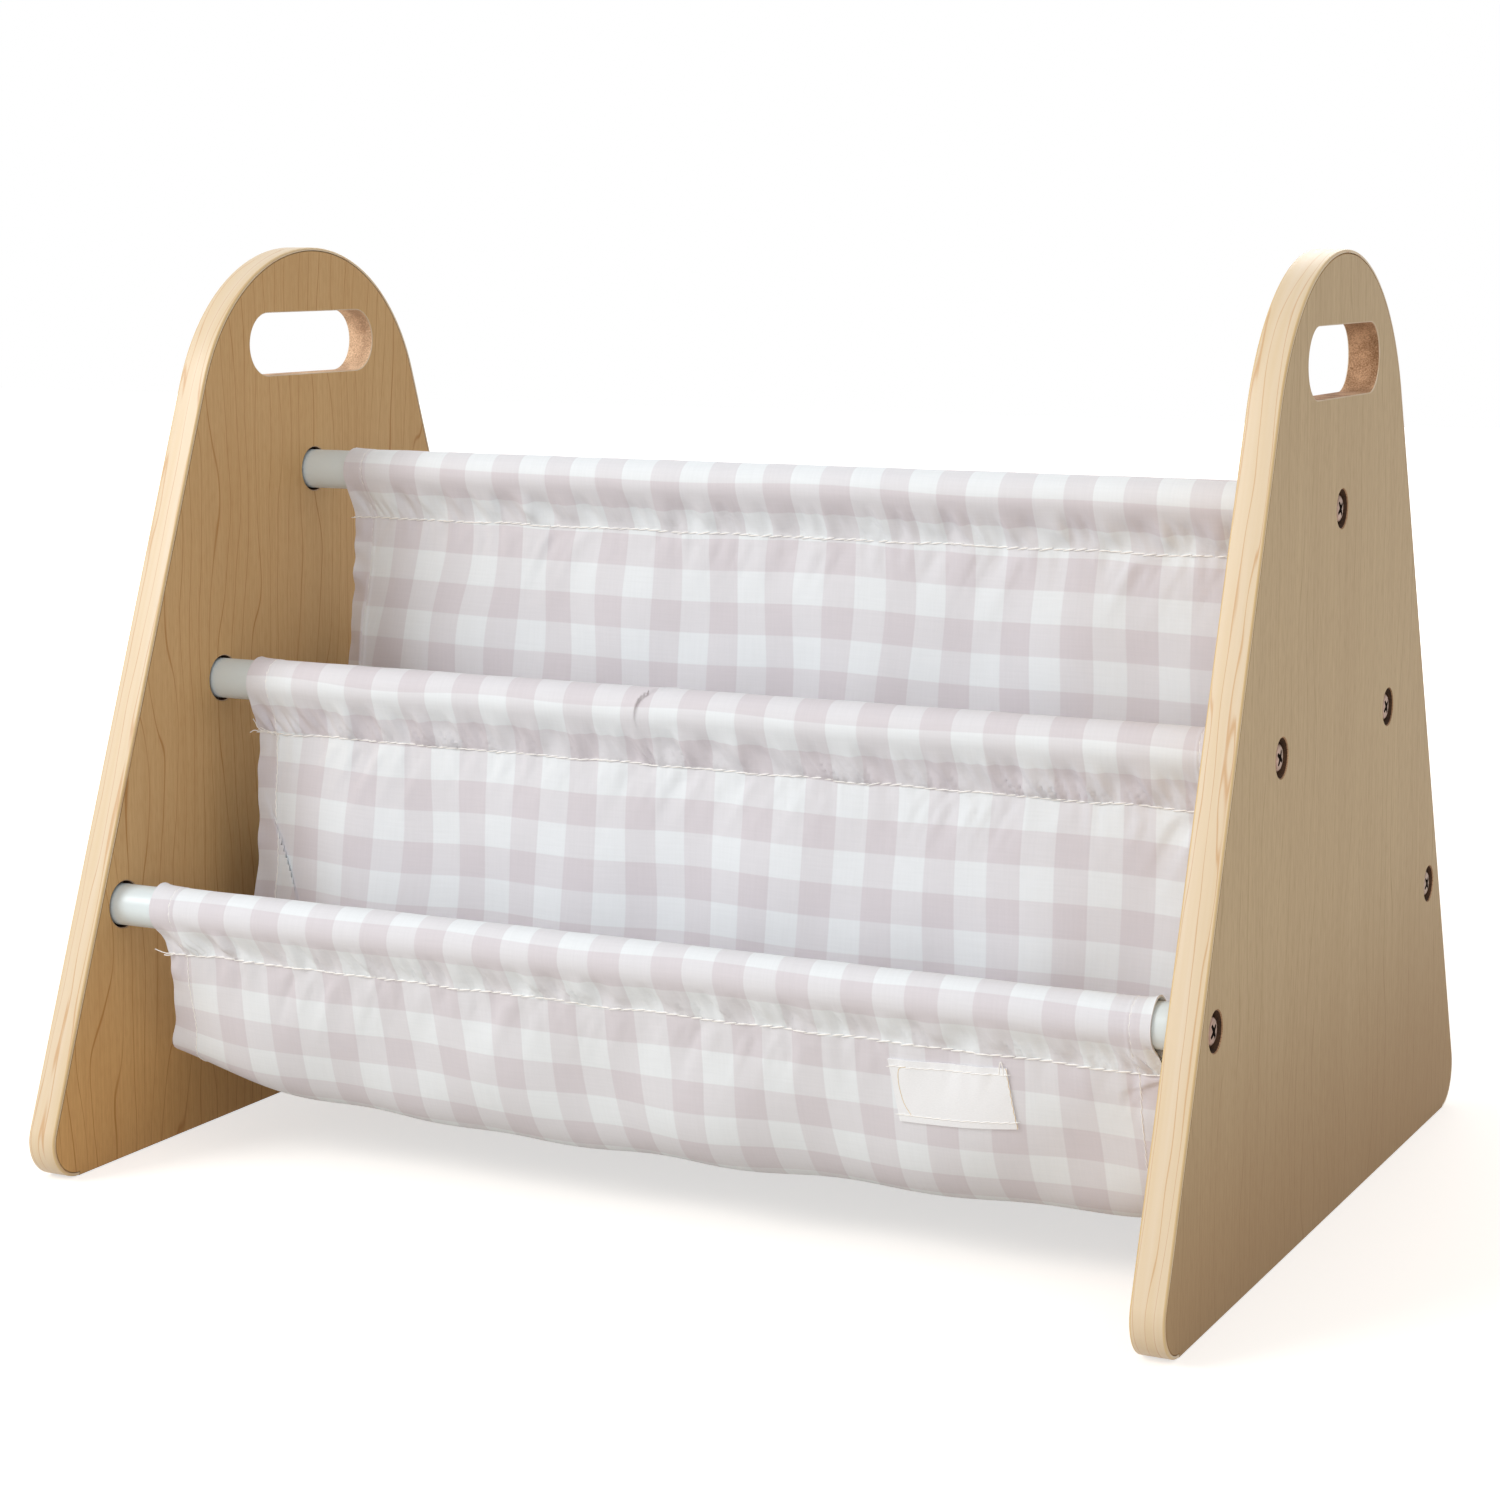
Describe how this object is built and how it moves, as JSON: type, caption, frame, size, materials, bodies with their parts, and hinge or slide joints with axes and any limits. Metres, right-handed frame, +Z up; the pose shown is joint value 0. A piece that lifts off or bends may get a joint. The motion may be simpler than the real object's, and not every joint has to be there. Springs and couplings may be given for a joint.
{
  "type": "sling bookshelf",
  "caption": "Double-sided sling book rack: A-shaped side boards with handle slots, joined by white tubes that carry a gingham cloth sewn into book pockets.",
  "frame": {"origin": "on the floor under the middle of the rack", "axes": "+X along the tubes towards the right board, +Y towards the rear, +Z up"},
  "size_m": [0.566, 0.448, 0.44],
  "materials": {
    "laminate_board": "satin maple-look laminate on fibreboard",
    "edge_band": "satin maple edge strip",
    "white_tube": "white semi-gloss powder coat",
    "plug_nylon": "matt moulded nylon",
    "screw_steel": "zinc-plated steel",
    "gingham_cloth": "woven cotton, white and pale grey check",
    "label_cotton": "plain cotton tape"
  },
  "bodies": {
    "root": {"side_panel_left": "laminate_board", "edge_band_left": "edge_band", "side_panel_right": "laminate_board", "edge_band_right": "edge_band", "tube_top": "white_tube", "tube_mid_front": "white_tube", "tube_mid_back": "white_tube", "tube_low_front": "white_tube", "tube_low_back": "white_tube", "tube_plug_top_left": "plug_nylon", "screw_top_left": "screw_steel", "tube_plug_top_right": "plug_nylon", "screw_top_right": "screw_steel", "tube_plug_mid_front_left": "plug_nylon", "screw_mid_front_left": "screw_steel", "tube_plug_mid_front_right": "plug_nylon", "screw_mid_front_right": "screw_steel", "tube_plug_mid_back_left": "plug_nylon", "screw_mid_back_left": "screw_steel", "tube_plug_mid_back_right": "plug_nylon", "screw_mid_back_right": "screw_steel", "tube_plug_low_front_left": "plug_nylon", "screw_low_front_left": "screw_steel", "tube_plug_low_front_right": "plug_nylon", "screw_low_front_right": "screw_steel", "tube_plug_low_back_left": "plug_nylon", "screw_low_back_left": "screw_steel", "tube_plug_low_back_right": "plug_nylon", "screw_low_back_right": "screw_steel", "sling_sleeve_top": "gingham_cloth", "sling_sleeve_mid_front": "gingham_cloth", "sling_sleeve_mid_back": "gingham_cloth", "sling_sleeve_low_front": "gingham_cloth", "sling_sleeve_low_back": "gingham_cloth", "sling_pocket_low_front": "gingham_cloth", "sling_pocket_low_back": "gingham_cloth", "sling_pocket_high_front": "gingham_cloth", "sling_pocket_high_back": "gingham_cloth", "label": "label_cotton"}
  },
  "joints": []
}
